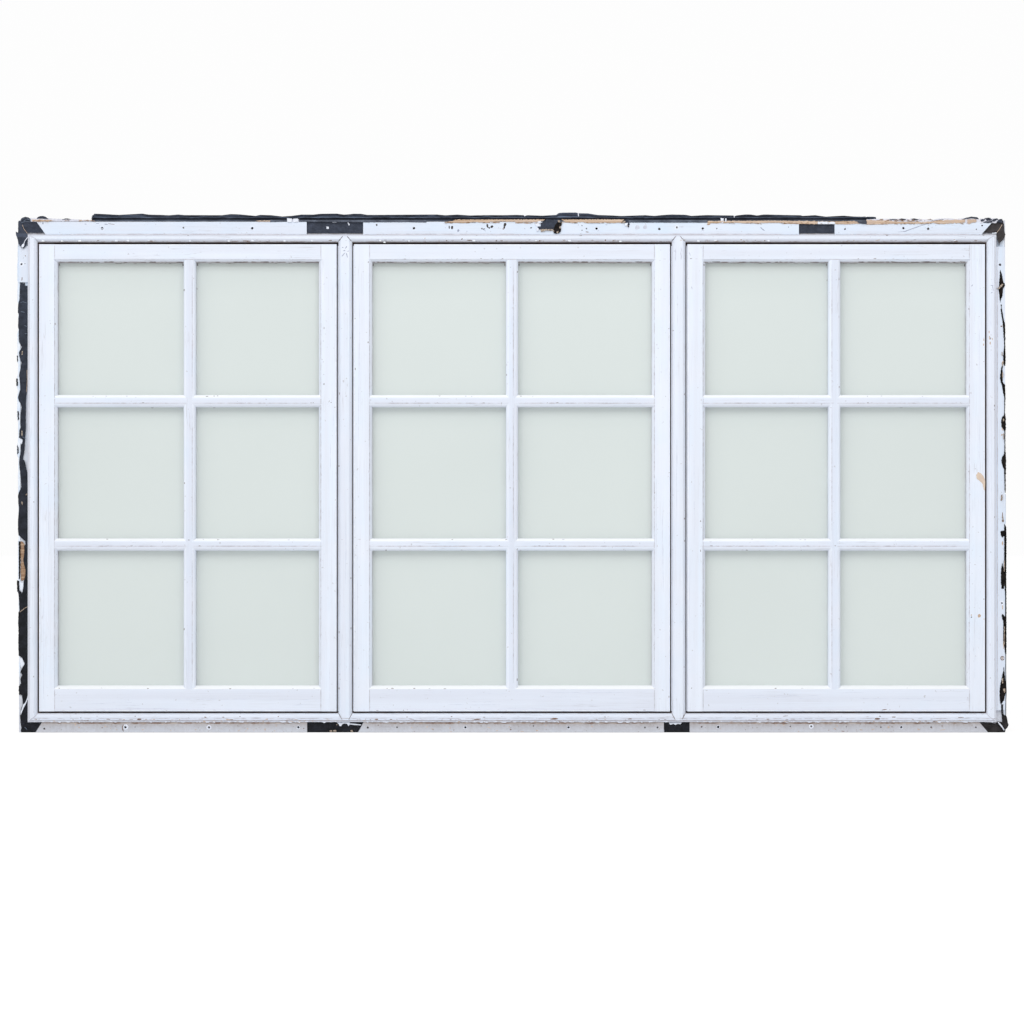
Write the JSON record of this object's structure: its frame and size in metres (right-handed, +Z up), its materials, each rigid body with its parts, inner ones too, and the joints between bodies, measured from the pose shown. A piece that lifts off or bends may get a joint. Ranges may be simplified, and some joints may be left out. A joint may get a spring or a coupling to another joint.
{
  "type": "fixed window",
  "caption": "Wide painted timber window frame holding fixed sashes side by side, each divided into small obscured panes by glazing bars; lets light into a room.",
  "frame": {"origin": "middle of the sill's bottom face", "axes": "+X along the window to the right seen from the weather side, +Y inwards to the room, +Z up"},
  "size_m": [2.288, 0.113, 1.203],
  "materials": {
    "painted_timber": "weathered white paint",
    "obscured_glass": "obscured, smooth outside",
    "membrane": "matte, torn",
    "spacer": "dull",
    "seal": "matte"
  },
  "bodies": {
    "root": {"head": "painted_timber", "sill": "painted_timber", "left_jamb": "painted_timber", "right_jamb": "painted_timber", "left_mullion": "painted_timber", "right_mullion": "painted_timber", "left_sash_top_rail": "painted_timber", "left_sash_bottom_rail": "painted_timber", "left_sash_left_stile": "painted_timber", "left_sash_right_stile": "painted_timber", "left_sash_vertical_bar": "painted_timber", "left_sash_cross_bars": "painted_timber", "left_sash_glazing_beads": "painted_timber", "left_sash_inner_bars": "painted_timber", "middle_sash_top_rail": "painted_timber", "middle_sash_bottom_rail": "painted_timber", "middle_sash_left_stile": "painted_timber", "middle_sash_right_stile": "painted_timber", "middle_sash_vertical_bar": "painted_timber", "middle_sash_cross_bars": "painted_timber", "middle_sash_glazing_beads": "painted_timber", "middle_sash_inner_bars": "painted_timber", "right_sash_top_rail": "painted_timber", "right_sash_bottom_rail": "painted_timber", "right_sash_left_stile": "painted_timber", "right_sash_right_stile": "painted_timber", "right_sash_vertical_bar": "painted_timber", "right_sash_cross_bars": "painted_timber", "right_sash_glazing_beads": "painted_timber", "right_sash_inner_bars": "painted_timber", "head_cover_strips": "painted_timber", "sill_cover_strips": "painted_timber", "left_cover_strip": "painted_timber", "right_cover_strip": "painted_timber", "left_sash_glass": "obscured_glass", "middle_sash_glass": "obscured_glass", "right_sash_glass": "obscured_glass", "head_membrane": "membrane", "sill_membrane": "membrane", "left_membrane": "membrane", "right_membrane": "membrane", "head_membrane_roll": "membrane", "glass_spacers": "spacer", "sash_seals": "seal"}
  },
  "joints": []
}
